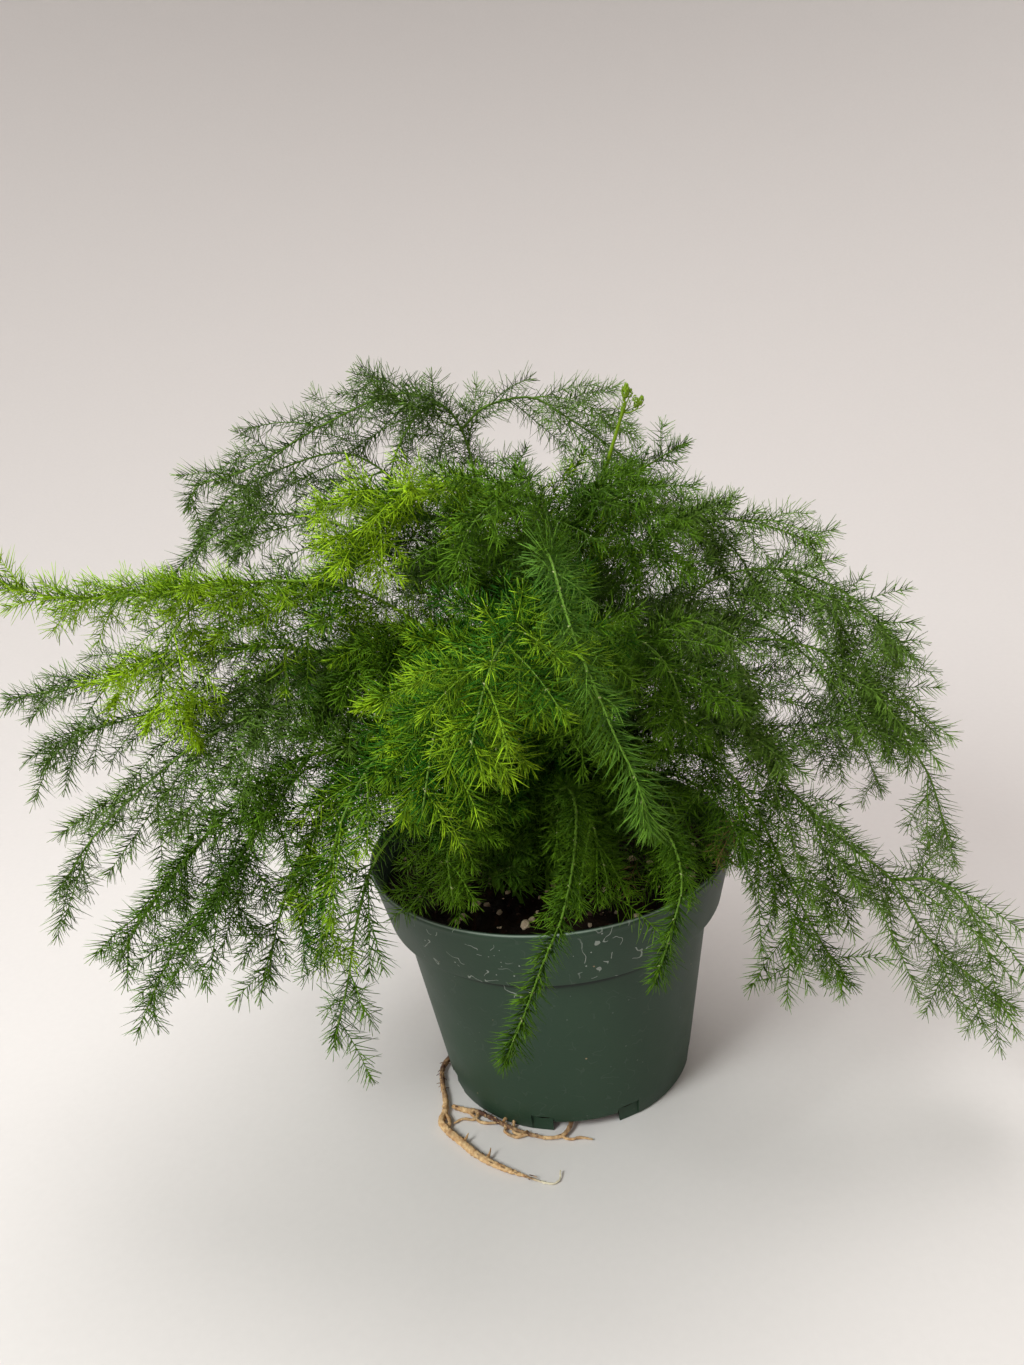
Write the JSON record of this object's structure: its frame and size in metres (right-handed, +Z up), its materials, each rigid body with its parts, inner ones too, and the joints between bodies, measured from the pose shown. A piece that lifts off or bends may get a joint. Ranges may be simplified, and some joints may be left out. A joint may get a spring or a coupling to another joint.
{
  "type": "potted asparagus fern",
  "caption": "Potted asparagus fern: arching stems with fine needle-like foliage in a dark green nursery pot, roots showing at its drain slots.",
  "frame": {"origin": "centre of the pot's flat underside", "axes": "+Z up along the pot's axis; the plant's front looks towards -Y, +X is to its right seen from the front"},
  "size_m": [0.4114, 0.3056, 0.3195],
  "materials": {
    "pot_plastic": "dark green moulded plastic, satin, lightly scuffed",
    "soil_mix": "moist dark potting mix with pale grit and bark",
    "root_bark": "dry tan root, rough",
    "shoot_green": "fresh yellow-green stem and buds, slightly waxy",
    "foliage_dark": "dark green needles and stems, satin",
    "foliage_mid": "green needles and stems, satin",
    "foliage_bright": "young yellow-green needles and stems, satin",
    "foliage_cool": "cool green needles and stems, satin"
  },
  "bodies": {
    "root": {"pot": "pot_plastic", "soil": "soil_mix", "root_long": "root_bark", "root_tangle": "root_bark", "young_shoot": "shoot_green", "frond_arch_high": "foliage_dark", "frond_arch_left": "foliage_dark", "frond_left_upper": "foliage_dark", "frond_left_bright": "foliage_bright", "frond_left_far": "foliage_dark", "frond_left_mid": "foliage_dark", "frond_left_low": "foliage_mid", "frond_left_hang": "foliage_mid", "frond_front_left_hang": "foliage_mid", "frond_front_left_bright": "foliage_bright", "frond_front_bright": "foliage_bright", "frond_front_crest": "foliage_bright", "frond_crest": "foliage_bright", "frond_crest_right": "foliage_mid", "frond_front_blue": "foliage_cool", "frond_front_hang": "foliage_mid", "frond_front_right_hang": "foliage_mid", "frond_back_right_high": "foliage_mid", "frond_right_top": "foliage_dark", "frond_right_high": "foliage_dark", "frond_right_mid": "foliage_dark", "frond_right_low": "foliage_dark", "frond_right_hang": "foliage_mid", "frond_right_back": "foliage_dark", "frond_low_right": "foliage_mid", "frond_low_left": "foliage_mid", "frond_back": "foliage_dark", "frond_back_left": "foliage_dark", "frond_back_right": "foliage_dark", "frond_left_back": "foliage_dark", "frond_low_front": "foliage_mid", "frond_low_front_left": "foliage_mid", "frond_low_front_right": "foliage_mid", "frond_low_right_side": "foliage_mid", "frond_inner_left_bright": "foliage_bright", "frond_inner_front_bright": "foliage_bright", "frond_inner_front": "foliage_mid", "frond_inner_right": "foliage_mid", "frond_inner_far_right": "foliage_dark", "frond_inner_far_left": "foliage_mid", "frond_inner_low_right": "foliage_dark", "frond_inner_low_left": "foliage_mid", "frond_crest_left": "foliage_mid", "frond_crest_front": "foliage_mid", "frond_crest_back": "foliage_dark", "frond_back_middle": "foliage_dark"}
  },
  "joints": []
}
